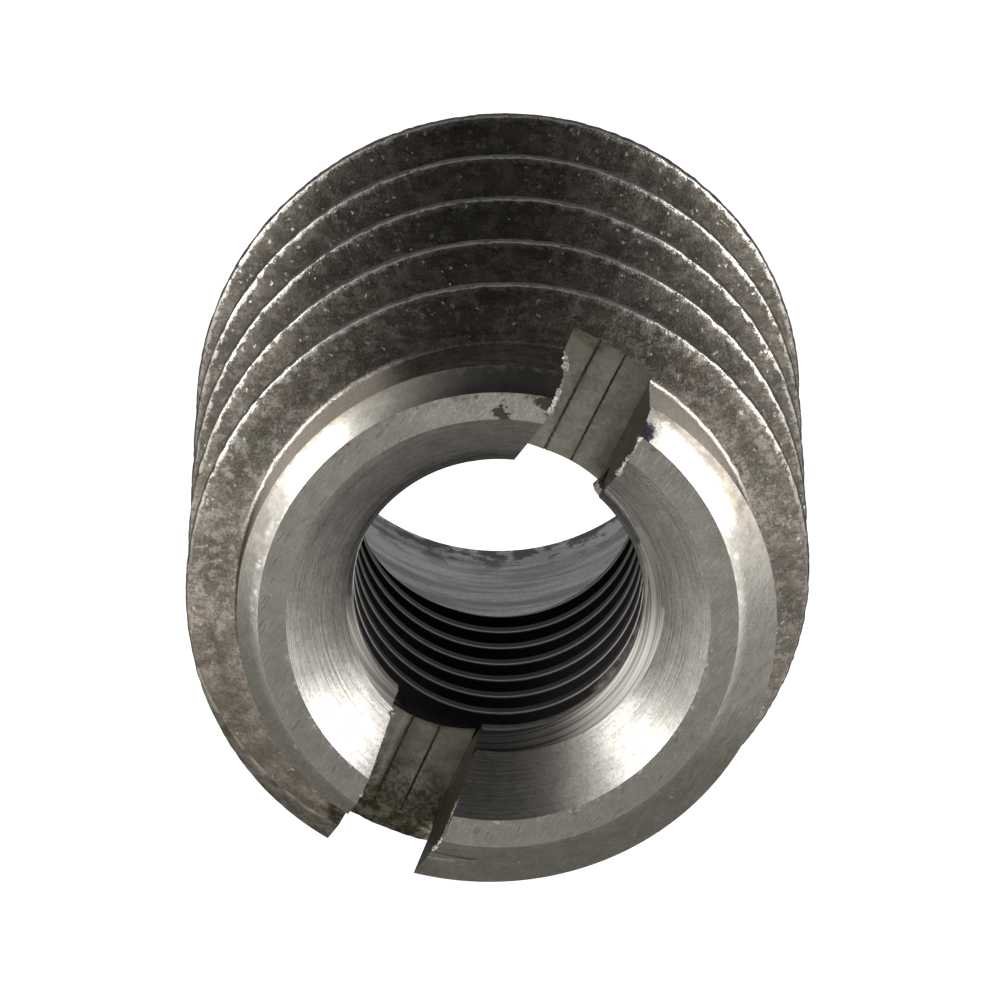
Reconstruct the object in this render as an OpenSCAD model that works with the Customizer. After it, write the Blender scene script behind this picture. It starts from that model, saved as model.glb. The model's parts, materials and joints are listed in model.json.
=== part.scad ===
// Screw-in threaded insert: a turned steel bush with a coarse thread outside,
// a metric thread inside and a driving slot across its upper end.
// It stands on its plain end, with the axis along +Z. Millimetres.

/* [Body] */
// Overall length, from the plain end to the slotted end
body_length = 30; // [27:0.5:40]
// Radius of the flat ring at the slotted end, where its outer chamfer starts
face_radius = 8.5; // [8.2:0.1:9]
// Radius of the flat ring at the plain end, where its outer chamfer starts
plain_face_radius = 8.3; // [8.1:0.1:9]
// Angle of the slotted end's outer chamfer, measured from the axis
chamfer_angle = 43; // [35:1:55]
// Angle of the plain end's outer chamfer, measured from the axis
plain_chamfer_angle = 35; // [30:1:50]

/* [Outer thread] */
// Crest diameter of the coarse outer thread
thread_diameter = 22.2; // [21:0.1:24]
// Height of the thread above its root
thread_height = 1.85; // [1.2:0.05:2]
// Distance between neighbouring crests
thread_pitch = 5; // [4:0.1:6]
// Width of the flat land along the crest
crest_land = 0.45; // [0.3:0.05:0.8]
// Half angle of the thread's flanks
flank_angle = 25; // [18:1:30]
// Depth of the first full crest under the slotted face, on the +Y side
first_crest_depth = 4.4; // [3:0.1:6]

/* [Bore] */
// Radius of the tapping bore, which is the inner thread's crest
bore_radius = 5.15; // [4.5:0.05:5.5]
// Radius of the countersink's mouth
countersink_radius = 7.5; // [6.8:0.1:7.9]
// Depth of the countersink
countersink_depth = 2.6; // [1.5:0.1:3.5]
// Length of bore wall that carries the inner thread
bore_length = 12.7; // [8:0.1:15]
// Radius of the plain relief bore in the lower half
relief_radius = 7.65; // [6.2:0.05:7.8]
// Angle of the relief bore's conical shoulder, measured from the axis
shoulder_angle = 60; // [45:1:75]
// Small chamfer that breaks the relief bore's lower edge
mouth_chamfer = 0.15; // [0.1:0.05:0.4]

/* [Driving slot] */
// Width of the slot
slot_width = 3.3; // [2.5:0.1:4.5]
// Depth of the slot on the axis
slot_depth = 4.7; // [4:0.1:6]
// Radius of the disc cutter that leaves the slot's hollow floor
cutter_radius = 60; // [30:1:80]
// Direction of the slot, turned clockwise from +Y
slot_turn = 25; // [0:1:90]

/* [Hidden] */

// How far a cutting shape runs past the surface that it cuts
overrun = 1;
// Flat steps in one turn of the outer thread
turn_steps = 96;
// Side faces are smooth at this many segments to a circle
$fn = 180;

crest_radius = thread_diameter / 2;
root_radius = crest_radius - thread_height;
flank_run = thread_height * tan(flank_angle);
root_land = thread_pitch - crest_land - 2 * flank_run;

// One pitch of the thread's section: distance up the axis from the middle of a crest, and radius
section = [
    [-crest_land / 2, crest_radius],
    [crest_land / 2, crest_radius],
    [crest_land / 2 + flank_run, root_radius],
    [crest_land / 2 + flank_run + root_land, root_radius]
];
section_points = len(section);

// The helix climbs one pitch in a turn, so a full crest is this far below the top at angle zero
crest_start = body_length - first_crest_depth - thread_pitch / 4;
// Pitches of thread below and above that crest, enough to pass both end faces
pitches_below = ceil(crest_start / thread_pitch) + 2;
pitches_above = ceil((body_length - crest_start) / thread_pitch) + 2;
lowest_crest = crest_start - pitches_below * thread_pitch;
last_row = (pitches_below + pitches_above) * section_points;

// A grid point of the thread: row counts section points up the axis, step counts round the turn
function thread_point(row, step) =
    let (
        turn = floor(row / section_points),
        knot = section[row % section_points],
        angle = 360 * step / turn_steps,
        climb = thread_pitch * (turn + step / turn_steps)
    )
    [knot[1] * cos(angle), knot[1] * sin(angle), lowest_crest + knot[0] + climb];

// After a whole turn a row joins the row one pitch further up
function point_index(row, step) =
    step < turn_steps
        ? row * turn_steps + step
        : (row + section_points) * turn_steps;

// Height over which an outer chamfer runs from its ring to past the crests
function chamfer_height(ring_radius, angle) = (crest_radius + overrun - ring_radius) / tan(angle);

// Turned outline of the bush: flat ring, chamfer, thread, chamfer, flat ring
module blank() {
    outer_radius = crest_radius + overrun;
    rotate_extrude()
        polygon([
            [0, 0],
            [plain_face_radius, 0],
            [outer_radius, chamfer_height(plain_face_radius, plain_chamfer_angle)],
            [outer_radius, body_length - chamfer_height(face_radius, chamfer_angle)],
            [face_radius, body_length],
            [0, body_length]
        ]);
}

// Endless threaded rod, longer than the bush at both ends
module threaded_rod() {
    top_row = last_row - section_points;
    points = [
        for (row = [0 : last_row])
            for (step = [0 : turn_steps - 1])
                thread_point(row, step)
    ];
    low_centre = len(points);
    high_centre = low_centre + 1;
    low_z = lowest_crest - thread_pitch;
    high_z = lowest_crest + (pitches_below + pitches_above + 2) * thread_pitch;
    sides = [
        for (row = [0 : top_row - 1])
            for (step = [0 : turn_steps - 1])
                for (half = [0, 1])
                    half == 0
                        ? [point_index(row, step), point_index(row + 1, step + 1), point_index(row, step + 1)]
                        : [point_index(row, step), point_index(row + 1, step), point_index(row + 1, step + 1)]
    ];
    low_end = concat(
        [for (step = [0 : turn_steps - 1]) [low_centre, point_index(0, step), point_index(0, step + 1)]],
        [for (row = [0 : section_points - 1]) [low_centre, point_index(row + 1, 0), point_index(row, 0)]]
    );
    high_end = concat(
        [for (step = [0 : turn_steps - 1]) [high_centre, point_index(top_row, step + 1), point_index(top_row, step)]],
        [for (row = [top_row : last_row - 1]) [high_centre, point_index(row, 0), point_index(row + 1, 0)]]
    );
    polyhedron(concat(points, [[0, 0, low_z], [0, 0, high_z]]), concat(sides, low_end, high_end));
}

// Countersink, tapping bore, conical shoulder and relief bore, as one turned cutter
module bores() {
    thread_top = body_length - countersink_depth;
    thread_bottom = thread_top - bore_length;
    shoulder_drop = (relief_radius - bore_radius) / tan(shoulder_angle);
    flare = (countersink_radius - bore_radius) / countersink_depth;
    rotate_extrude()
        polygon([
            [0, -overrun],
            [relief_radius + mouth_chamfer + overrun, -overrun],
            [relief_radius, mouth_chamfer],
            [relief_radius, thread_bottom - shoulder_drop],
            [bore_radius, thread_bottom],
            [bore_radius, thread_top],
            [countersink_radius + flare * overrun, body_length + overrun],
            [0, body_length + overrun]
        ]);
}

// Disc cutter plunged straight down across the slotted end
module slot_cutter() {
    rotate([0, 0, -slot_turn])
        translate([-slot_width / 2, 0, body_length - slot_depth + cutter_radius])
            rotate([0, 90, 0])
                cylinder(r = cutter_radius, h = slot_width);
}

module insert() {
    color("#77716a")
        difference() {
            intersection() {
                threaded_rod();
                blank();
            }
            bores();
            slot_cutter();
        }
}

insert();
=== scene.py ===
# %% [markdown]
# # A slotted threaded insert, dressed from its fixed frame
#
# The real object is one piece of turned steel. Its shape and its marks fit the usual way to make such
# a part: a bar is turned and threaded outside, drilled, countersunk and tapped inside, and a disc
# cutter cuts the driving slot across one end. This script follows that order with solid shapes: it
# makes the threaded bar, takes the turned core, the tapped thread and the slot away from it, and
# adds torn edges such as a cutter leaves.
# Every finish is then a procedural material, worked out from the place of a point on the piece.

# %% Load the frame and keep its box
import json
import math

import bpy
from mathutils import Matrix, Vector


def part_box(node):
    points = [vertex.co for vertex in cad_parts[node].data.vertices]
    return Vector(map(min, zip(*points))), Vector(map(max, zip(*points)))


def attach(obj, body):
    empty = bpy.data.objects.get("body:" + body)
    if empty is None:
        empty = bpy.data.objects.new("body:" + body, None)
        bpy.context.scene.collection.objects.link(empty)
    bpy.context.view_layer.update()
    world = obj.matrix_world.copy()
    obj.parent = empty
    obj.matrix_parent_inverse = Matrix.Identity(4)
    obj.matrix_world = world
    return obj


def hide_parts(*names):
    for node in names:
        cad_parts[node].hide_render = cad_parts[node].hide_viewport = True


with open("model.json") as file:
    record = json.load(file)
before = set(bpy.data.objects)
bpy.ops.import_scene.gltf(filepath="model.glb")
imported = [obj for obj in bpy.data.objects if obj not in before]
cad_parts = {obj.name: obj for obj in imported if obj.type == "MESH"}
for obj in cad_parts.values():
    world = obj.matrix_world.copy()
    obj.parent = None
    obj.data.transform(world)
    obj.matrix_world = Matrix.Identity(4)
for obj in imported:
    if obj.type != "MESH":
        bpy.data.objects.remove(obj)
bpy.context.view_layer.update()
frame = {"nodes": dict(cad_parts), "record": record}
print("nodes in the frame:", sorted(frame["nodes"]))

# %% [markdown]
# ## Sizes
#
# All shapes below are built in millimetres, because the drawing of such a part is in millimetres
# too, and the finished mesh is scaled to metres once. The overall length, the crest of the outer
# thread and the tapping bore come from the frame. The other sizes are the ones that the construction
# uses, so that the dressed piece keeps the same form.

# %% Sizes of the insert
MM = 0.001
NODE = "insert"
low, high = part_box(NODE)
MOUNTS = {mount["name"]: mount for mount in frame["record"]["mounts"]}

LENGTH = (high.z - low.z) / MM
CREST_R = (high.x - low.x) / MM / 2
BORE_R = MOUNTS["inner_thread"]["dims"]["r_mm"]
BORE_LENGTH = MOUNTS["inner_thread"]["dims"]["length_mm"]

# Outside: flat ring, chamfer and coarse thread
FACE_R = 8.5
CHAMFER_ANGLE = math.radians(43)
PLAIN_FACE_R = 8.3
PLAIN_CHAMFER_ANGLE = math.radians(35)
THREAD_HEIGHT = 1.85
THREAD_PITCH = 5.0
CREST_LAND = 0.45
FLANK_ANGLE = math.radians(25)
FIRST_CREST_DEPTH = 4.4
ROOT_R = CREST_R - THREAD_HEIGHT
CREST_START = LENGTH - FIRST_CREST_DEPTH - THREAD_PITCH / 4

# Inside: countersink, tapped bore, conical shoulder and relief bore
SINK_R = 7.5
SINK_DEPTH = 2.6
BORE_TOP = LENGTH - SINK_DEPTH
BORE_BOTTOM = BORE_TOP - BORE_LENGTH
RELIEF_R = 7.65
SHOULDER_ANGLE = math.radians(60)
SHOULDER_DROP = (RELIEF_R - BORE_R) / math.tan(SHOULDER_ANGLE)
MOUTH_CHAMFER = 0.15

# The metric thread in the bore
TAP_PITCH = 1.75
TAP_R = 6.0
TAP_FLANK = math.radians(30)
TAP_FLAT = TAP_PITCH / 8
# The tap's root lies this far inside the bore's wall, so that its cut and the bore's cut overlap
TAP_OVERLAP = 0.06
TAP_LAND = TAP_PITCH - TAP_FLAT - 2 * (TAP_R - BORE_R) * math.tan(TAP_FLANK)
TAP_FIRST_EDGE = 2.97
TAP_CREST_DEPTH = TAP_FIRST_EDGE + TAP_LAND / 2
TAP_CREST_START = LENGTH - TAP_CREST_DEPTH + TAP_PITCH / 4

# Driving slot
SLOT_HALF = 1.65
SLOT_DEPTH = 4.7
CUTTER_R = 60.0
SLOT_TURN = math.radians(25)
ALONG = Vector((math.sin(SLOT_TURN), math.cos(SLOT_TURN), 0))
ACROSS = Vector((math.cos(SLOT_TURN), -math.sin(SLOT_TURN), 0))

# How far a cutter's shape reaches past what it cuts
OVERRUN = 1.0
print(f"length {LENGTH:.2f} mm, crest radius {CREST_R:.2f} mm, bore radius {BORE_R:.2f} mm")

# %% [markdown]
# ## Small tools for node trees
#
# Geometry trees and shader trees are wired in the same way. One helper adds a node, sets its
# options and fills its inputs: a plain value is typed into the socket, and another node's output
# is linked to it. That keeps each tree below as short as its sketch on paper.

# %% Node tree helpers
def add(tree, kind, inputs=None, **options):
    """Adds a node and fills its inputs, given by name or number. Returns the node."""
    node = tree.nodes.new(kind)
    for option, value in options.items():
        setattr(node, option, value)
    for key, value in (inputs or {}).items():
        if isinstance(value, bpy.types.NodeSocket):
            tree.links.new(value, node.inputs[key])
        else:
            node.inputs[key].default_value = value
    return node


def maths(tree, operation, *values):
    """One Math node. Returns its output."""
    return add(tree, "ShaderNodeMath", dict(enumerate(values)), operation=operation).outputs[0]


def vector_maths(tree, operation, *values):
    """One Vector Math node. Returns its vector, or its number where the operation makes one."""
    sockets = (0, "Scale") if operation == "SCALE" else range(len(values))
    node = add(tree, "ShaderNodeVectorMath", dict(zip(sockets, values)), operation=operation)
    return node.outputs["Value" if operation in ("DOT_PRODUCT", "DISTANCE", "LENGTH") else "Vector"]


def vector(tree, x=0.0, y=0.0, z=0.0):
    """Joins three values to a vector."""
    return add(tree, "ShaderNodeCombineXYZ", {0: x, 1: y, 2: z}).outputs[0]


def new_inputs(tree, kind_of):
    """Makes one named input per entry, as {name: socket type}."""
    for name, kind in kind_of.items():
        tree.interface.new_socket(name, in_out="INPUT", socket_type="NodeSocket" + kind)


# %% [markdown]
# ## Threads
#
# A thread is one section carried round the axis while it climbs one pitch a turn. A Screw modifier
# could do that, but it leaves an open shell that the solid cuts below can't use. A Geometry Nodes tree
# gives a closed bar instead: it lays a grid, bends it round the axis as a helix, pulls both loose
# ends together on the axis, and merges the seam where each turn meets the next. The same tree
# makes the coarse outer thread and the tap that cuts the fine inner one. Worn crests are part of
# the tree too: noise eats into whatever lies outside a given radius.

# %% The helical bar as a node tree
def helical_bar_tree():
    tree = bpy.data.node_groups.new("helical_bar", "GeometryNodeTree")
    new_inputs(tree, {"Section": "Geometry", "Pitch": "Float", "Start height": "Float", "Turns": "Int",
                      "Steps": "Int", "Wear radius": "Float", "Wear band": "Float", "Wear depth": "Float",
                      "Wear scale": "Float", "Seed": "Float", "Finish": "Material"})
    tree.interface.new_socket("Bar", in_out="OUTPUT", socket_type="NodeSocketGeometry")
    given = tree.nodes.new("NodeGroupInput").outputs
    steps, turns, pitch = given["Steps"], given["Turns"], given["Pitch"]

    size = add(tree, "GeometryNodeAttributeDomainSize", {0: given["Section"]}, component="MESH")
    rows = size.outputs["Point Count"]
    last_step = maths(tree, "MULTIPLY", steps, turns)
    grid = add(tree, "GeometryNodeMeshGrid",
               {"Vertices X": maths(tree, "ADD", last_step, 1), "Vertices Y": rows})

    index = add(tree, "GeometryNodeInputIndex").outputs[0]
    step = maths(tree, "FLOOR", maths(tree, "DIVIDE", maths(tree, "ADD", index, 0.5), rows))
    row = maths(tree, "SUBTRACT", index, maths(tree, "MULTIPLY", step, rows))
    point = add(tree, "GeometryNodeSampleIndex",
                {0: given["Section"], "Index": row,
                 "Value": add(tree, "GeometryNodeInputPosition").outputs[0]},
                data_type="FLOAT_VECTOR", domain="POINT").outputs[0]
    knot = add(tree, "ShaderNodeSeparateXYZ", {0: point}).outputs
    turn = maths(tree, "DIVIDE", step, steps)
    angle = maths(tree, "MULTIPLY", turn, math.tau)
    height = maths(tree, "ADD", maths(tree, "MULTIPLY_ADD", turn, pitch, given["Start height"]), knot["Z"])
    cosine, sine = maths(tree, "COSINE", angle), maths(tree, "SINE", angle)

    # Wear: noise takes up to the wear depth away, and only beyond the wear radius
    spot = vector(tree, maths(tree, "MULTIPLY", cosine, knot["X"]), maths(tree, "MULTIPLY", sine, knot["X"]),
                  maths(tree, "ADD", height, given["Seed"]))
    noise = add(tree, "ShaderNodeTexNoise", {"Vector": spot, "Scale": given["Wear scale"], "Detail": 3.0,
                                             "Roughness": 0.65})
    eaten = add(tree, "ShaderNodeMapRange", {0: noise.outputs[0], 1: 0.42, 2: 0.75, 3: 0.0, 4: 1.0})
    beyond = add(tree, "ShaderNodeMapRange", {
        0: knot["X"], 1: given["Wear radius"], 3: 0.0, 4: 1.0,
        2: maths(tree, "ADD", given["Wear radius"], given["Wear band"])}, interpolation_type="SMOOTHSTEP")
    loss = maths(tree, "MULTIPLY", maths(tree, "MULTIPLY", eaten.outputs[0], beyond.outputs[0]),
                 given["Wear depth"])
    radius = maths(tree, "SUBTRACT", knot["X"], loss)
    on_helix = vector(tree, maths(tree, "MULTIPLY", cosine, radius), maths(tree, "MULTIPLY", sine, radius),
                      height)
    bent = add(tree, "GeometryNodeSetPosition", {0: grid.outputs["Mesh"], "Position": on_helix})

    # The loose first and last edges go to one point on the axis each
    low_edge = maths(tree, "MULTIPLY", maths(tree, "LESS_THAN", row, 0.5),
                     maths(tree, "LESS_THAN", step, maths(tree, "ADD", steps, 0.5)))
    low_end = maths(tree, "MAXIMUM", low_edge, maths(tree, "LESS_THAN", step, 0.5))
    high_edge = maths(tree, "MULTIPLY", maths(tree, "GREATER_THAN", row, maths(tree, "SUBTRACT", rows, 1.5)),
                      maths(tree, "GREATER_THAN", step,
                            maths(tree, "SUBTRACT", last_step, maths(tree, "ADD", steps, 0.5))))
    high_end = maths(tree, "MAXIMUM", high_edge,
                     maths(tree, "GREATER_THAN", step, maths(tree, "SUBTRACT", last_step, 0.5)))
    low_point = vector(tree, z=maths(tree, "SUBTRACT", given["Start height"], pitch))
    high_point = vector(tree, z=maths(tree, "MULTIPLY_ADD", pitch, maths(tree, "ADD", turns, 1.0),
                                      given["Start height"]))
    closed = add(tree, "GeometryNodeSetPosition", {0: bent.outputs[0], "Selection": low_end,
                                                   "Position": low_point})
    closed = add(tree, "GeometryNodeSetPosition", {0: closed.outputs[0], "Selection": high_end,
                                                   "Position": high_point})
    merged = add(tree, "GeometryNodeMergeByDistance", {0: closed.outputs[0], "Distance": 1e-4})
    single = add(tree, "GeometryNodeRealizeInstances", {0: merged.outputs[0]})
    finished = add(tree, "GeometryNodeSetMaterial", {0: single.outputs[0], "Material": given["Finish"]})
    tree.links.new(finished.outputs[0], tree.nodes.new("NodeGroupOutput").inputs[0])
    return tree


# %% Run a tree on an object
def set_input(modifier, name, value):
    """Sets a tree's named input on its modifier, which knows it by its identifier only."""
    for item in modifier.node_group.interface.items_tree:
        if item.name == name and item.in_out == "INPUT":
            modifier[item.identifier] = value


def new_object(name, mesh):
    obj = bpy.data.objects.new(name, mesh)
    bpy.context.scene.collection.objects.link(obj)
    return obj


def settle(obj):
    """Turns what the object's modifiers make into its own plain mesh, and takes them off."""
    bpy.context.view_layer.update()
    seen = obj.evaluated_get(bpy.context.evaluated_depsgraph_get())
    mesh = bpy.data.meshes.new_from_object(seen)
    obj.modifiers.clear()
    obj.data = mesh
    return obj


def grown(name, mesh, tree, **values):
    """An object whose mesh goes through a node tree with these inputs, then is made plain."""
    obj = new_object(name, mesh)
    modifier = obj.modifiers.new(tree.name, "NODES")
    modifier.node_group = tree
    for key, value in values.items():
        set_input(modifier, key.replace("_", " "), value)
    return settle(obj)


# %% [markdown]
# The section is a short line of points: crest land, its broken edge, the flank, a small fillet and
# the root. The points are worked out from the thread's own sizes, and mirrored for the other flank.

# %% Thread sections
def polyline(name, points):
    """A mesh of edges only, from one point to the next."""
    mesh = bpy.data.meshes.new(name)
    mesh.from_pydata([tuple(point) for point in points], [(i, i + 1) for i in range(len(points) - 1)], [])
    return mesh


def thread_section(crest_r, root_r, land, flank, pitch, edge, fillet):
    """One pitch of a thread as points in the XZ plane, from the middle of one crest to the next."""
    rise = crest_r - root_r
    foot = land / 2 + rise * math.tan(flank)
    lean = math.tan(flank)
    half = [
        (crest_r, 0.0),
        (crest_r, land / 2 - edge),
        (crest_r - 0.3 * edge, land / 2 - 0.25 * edge),
        (crest_r - edge, land / 2 + edge * lean),
        (crest_r - rise / 2, land / 2 + rise / 2 * lean),
        (root_r + fillet, foot - fillet * lean),
        (root_r + 0.3 * fillet, foot + 0.1 * fillet),
        (root_r, foot + 0.8 * fillet),
    ]
    mirrored = [(r, pitch - z) for r, z in reversed(half)]
    return [(r, 0.0, z) for r, z in half + mirrored]


outer_section = polyline("outer_section", thread_section(
    CREST_R, ROOT_R, CREST_LAND, FLANK_ANGLE, THREAD_PITCH, edge=0.07, fillet=0.16))
print("points in one pitch of the outer thread:", len(outer_section.vertices))

# %% [markdown]
# ## Turned shapes
#
# What a lathe makes is an outline turned round the axis. A Screw modifier would do it, but here
# each stretch of the outline has a finish of its own, such as the bright chamfer next to the dull
# ring, so a short function builds the rings itself and gives each face its stretch's material.
# Long stretches are divided, so that the solid cuts that follow leave fewer long thin faces.

# %% A turned solid
TURN_STEPS = 288
ON_AXIS = 1e-6


def solid(name, points, faces, slots, materials):
    """An object from points, faces and the number of each face's material."""
    mesh = bpy.data.meshes.new(name)
    mesh.from_pydata(points, [], faces)
    for material in materials:
        mesh.materials.append(material)
    mesh.polygons.foreach_set("material_index", slots)
    return new_object(name, mesh)


def turned(name, outline, finishes, cell=0.5):
    """A closed solid turned round the axis. outline holds (radius, height, finish) from the low end
    of the axis to the high end, where finish names the stretch that ends at that point."""
    rings = [outline[0]]
    for (r0, z0, _), (r1, z1, finish) in zip(outline, outline[1:]):
        cuts = max(1, round(math.hypot(r1 - r0, z1 - z0) / cell))
        rings += [(r0 + (r1 - r0) * i / cuts, z0 + (z1 - z0) * i / cuts, finish) for i in range(1, cuts + 1)]
    names = list(finishes)
    points, first, faces, slots = [], [], [], []
    for r, z, _ in rings:
        first.append(len(points))
        steps = 1 if r < ON_AXIS else TURN_STEPS
        points += [(r * math.cos(math.tau * s / steps), r * math.sin(math.tau * s / steps), z)
                   for s in range(steps)]
    for i in range(len(rings) - 1):
        for s in range(TURN_STEPS):
            t = (s + 1) % TURN_STEPS
            below = [first[i]] if rings[i][0] < ON_AXIS else [first[i] + s, first[i] + t]
            above = [first[i + 1]] if rings[i + 1][0] < ON_AXIS else [first[i + 1] + t, first[i + 1] + s]
            faces.append(below + above)
            slots.append(names.index(rings[i + 1][2]))
    return solid(name, points, faces, slots, finishes.values())


def eased(outline, radius, steps=3):
    """The same outline with its inner corners rounded. Points on the axis stay sharp."""
    soft = [outline[0]]
    for before, (r, z, finish), after in zip(outline, outline[1:], outline[2:]):
        corner = Vector((r, z))
        back = Vector(before[:2]) - corner
        ahead = Vector(after[:2]) - corner
        cut = min(radius, back.length / 3, ahead.length / 3)
        start, end = corner + back.normalized() * cut, corner + ahead.normalized() * cut
        for i in range(steps + 1):
            k = i / steps
            spot = start * (1 - k) ** 2 + corner * 2 * k * (1 - k) + end * k ** 2
            soft.append((spot.x, spot.y, finish if i <= steps / 2 else after[2]))
    return soft + [outline[-1]]


# %% Empty finishes, which are filled further down
FINISH = {name: bpy.data.materials.new(name) for name in (
    "tarnished_thread", "end_ring", "bright_chamfer", "turned_countersink", "tapped_thread", "relief_bore",
    "milled_floor", "milled_wall", "torn_edge")}
for material in FINISH.values():
    material.use_nodes = True


def finishes(*names):
    return {name: FINISH[name] for name in names}


# %% The blank and the core
outer_r = CREST_R + OVERRUN
top_chamfer = (outer_r - FACE_R) / math.tan(CHAMFER_ANGLE)
plain_chamfer = (outer_r - PLAIN_FACE_R) / math.tan(PLAIN_CHAMFER_ANGLE)
blank = turned("blank", eased([
    (0, 0, "end_ring"),
    (PLAIN_FACE_R, 0, "end_ring"),
    (outer_r, plain_chamfer, "bright_chamfer"),
    (outer_r, LENGTH - top_chamfer, "tarnished_thread"),
    (FACE_R, LENGTH, "bright_chamfer"),
    (0, LENGTH, "end_ring"),
], radius=0.01), finishes("end_ring", "bright_chamfer", "tarnished_thread"))

flare = (SINK_R - BORE_R) / SINK_DEPTH
core = turned("core", [
    (0, -OVERRUN, "relief_bore"),
    (RELIEF_R + MOUTH_CHAMFER + OVERRUN, -OVERRUN, "relief_bore"),
    (RELIEF_R, MOUTH_CHAMFER, "relief_bore"),
    (RELIEF_R, BORE_BOTTOM - SHOULDER_DROP, "relief_bore"),
    (BORE_R, BORE_BOTTOM, "relief_bore"),
    (BORE_R, BORE_TOP, "tapped_thread"),
    (SINK_R, LENGTH, "turned_countersink"),
    (SINK_R + flare * OVERRUN, LENGTH + OVERRUN, "turned_countersink"),
    (0, LENGTH + OVERRUN, "turned_countersink"),
], finishes("relief_bore", "tapped_thread", "turned_countersink"))
print("faces:", len(blank.data.polygons), "in the blank and", len(core.data.polygons), "in the core")

# %% [markdown]
# ## The slot's cutter
#
# A disc cutter plunged across the end leaves a slot with flat walls and a floor that follows the
# disc. Two fine grooves run along the real floor, as teeth that stand a little proud would leave.
# The cutter is lofted here from one cross-section after another, with both grooves in the section.

# %% Loft and the disc cutter
def loft(name, loops, materials, slot_of_side):
    """A closed solid through loops of points, each running clockwise as seen from the loop before."""
    count = len(loops[0])
    points = [tuple(p) for loop in loops for p in loop]
    faces, slots = [], []
    for i in range(len(loops) - 1):
        for j in range(count):
            k = (j + 1) % count
            faces.append((i * count + k, i * count + j, (i + 1) * count + j, (i + 1) * count + k))
            slots.append(slot_of_side[j])
    end = (len(loops) - 1) * count
    faces += [tuple(range(count)), tuple(reversed(range(end, end + count)))]
    slots += [0, 0]
    return solid(name, points, faces, slots, materials)


# Each groove has its place across the floor and half its width
GROOVES = ((-0.58, 0.04), (0.45, 0.03))
GROOVE_DEPTH = 0.020


def floor_section():
    """(across, extra depth) points of the slot's floor, from one wall to the other."""
    section = [(-SLOT_HALF, 0.0)]
    for centre, half in GROOVES:
        section += [(centre - half, 0.0), (centre, GROOVE_DEPTH), (centre + half, 0.0)]
    return section + [(SLOT_HALF, 0.0)]


LOFT_STEPS = 60


def slot_cutter():
    centre = LENGTH - SLOT_DEPTH + CUTTER_R
    reach = math.asin((CREST_R + OVERRUN) / CUTTER_R)
    loops = []
    for i in range(LOFT_STEPS + 1):
        angle = reach * (2 * i / LOFT_STEPS - 1)
        loop = []
        for across, extra in floor_section():
            radius = CUTTER_R + extra
            spot = ACROSS * across + ALONG * (radius * math.sin(angle))
            loop.append(spot + Vector((0, 0, centre - radius * math.cos(angle))))
        for across in (SLOT_HALF, -SLOT_HALF):
            spot = ACROSS * across + ALONG * (CUTTER_R * math.sin(angle))
            loop.append(spot + Vector((0, 0, LENGTH + OVERRUN)))
        loops.append(loop)
    floor_sides = len(floor_section()) - 1
    sides = [0] * floor_sides + [1, 1, 1]
    return loft("slot_cutter", loops, [FINISH["milled_floor"], FINISH["milled_wall"]], sides)


cutter = slot_cutter()

# %% [markdown]
# ## Torn edges
#
# A ragged bright lip stands along parts of the slot's edges, as a cutter leaves where it tears the
# steel. Modelling each tooth by hand would take long and look drawn. A lip is
# a bead along a line whose thickness changes at random, so a Geometry Nodes tree makes it: it
# divides the line finely, shakes its points, gives each its own thickness and runs a small
# five-sided section along it. The lines themselves are the slot's edges, worked out from the
# same radii as the turned shape.

# %% A ragged bead as a node tree
def torn_edge_tree():
    tree = bpy.data.node_groups.new("torn_edge", "GeometryNodeTree")
    new_inputs(tree, {"Line": "Geometry", "Step": "Float", "Thin": "Float", "Thick": "Float",
                      "Shake": "Float", "Per mm": "Float", "Seed": "Float", "Finish": "Material"})
    tree.interface.new_socket("Bead", in_out="OUTPUT", socket_type="NodeSocketGeometry")
    given = tree.nodes.new("NodeGroupInput").outputs
    curve = add(tree, "GeometryNodeMeshToCurve", {0: given["Line"]}).outputs[0]
    fine = add(tree, "GeometryNodeResampleCurve", {0: curve, "Length": given["Step"]},
               mode="LENGTH").outputs[0]
    place = add(tree, "GeometryNodeInputPosition").outputs[0]
    spot = vector_maths(tree, "ADD", place, vector(tree, given["Seed"]))
    rough = add(tree, "ShaderNodeTexNoise", {"Vector": spot, "Scale": given["Per mm"], "Detail": 2.0})
    push = vector_maths(tree, "SUBTRACT", rough.outputs["Color"], (0.5, 0.5, 0.5))
    shift = vector_maths(tree, "SCALE", push, given["Shake"])
    shaken = add(tree, "GeometryNodeSetPosition", {0: fine, "Offset": shift}).outputs[0]
    lumps = add(tree, "ShaderNodeTexNoise",
                {"Vector": spot, "Scale": maths(tree, "MULTIPLY", given["Per mm"], 0.3)})
    broad = add(tree, "ShaderNodeMapRange", {0: lumps.outputs[0], 1: 0.44, 2: 0.60, 3: given["Thin"],
                                             4: given["Thick"]}).outputs[0]
    tooth = add(tree, "FunctionNodeRandomValue", {2: 0.35, 3: 1.0, "Seed": 5}, data_type="FLOAT").outputs[1]
    width = maths(tree, "MULTIPLY", broad, tooth)
    section = add(tree, "GeometryNodeCurvePrimitiveCircle", {"Resolution": 5, "Radius": 1.0}).outputs[0]
    bead = add(tree, "GeometryNodeCurveToMesh",
               {0: shaken, 1: section, "Scale": width, "Fill Caps": True}).outputs[0]
    single = add(tree, "GeometryNodeRealizeInstances", {0: bead}).outputs[0]
    finished = add(tree, "GeometryNodeSetMaterial", {0: single, "Material": given["Finish"]})
    tree.links.new(finished.outputs[0], tree.nodes.new("NodeGroupOutput").inputs[0])
    return tree


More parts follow.
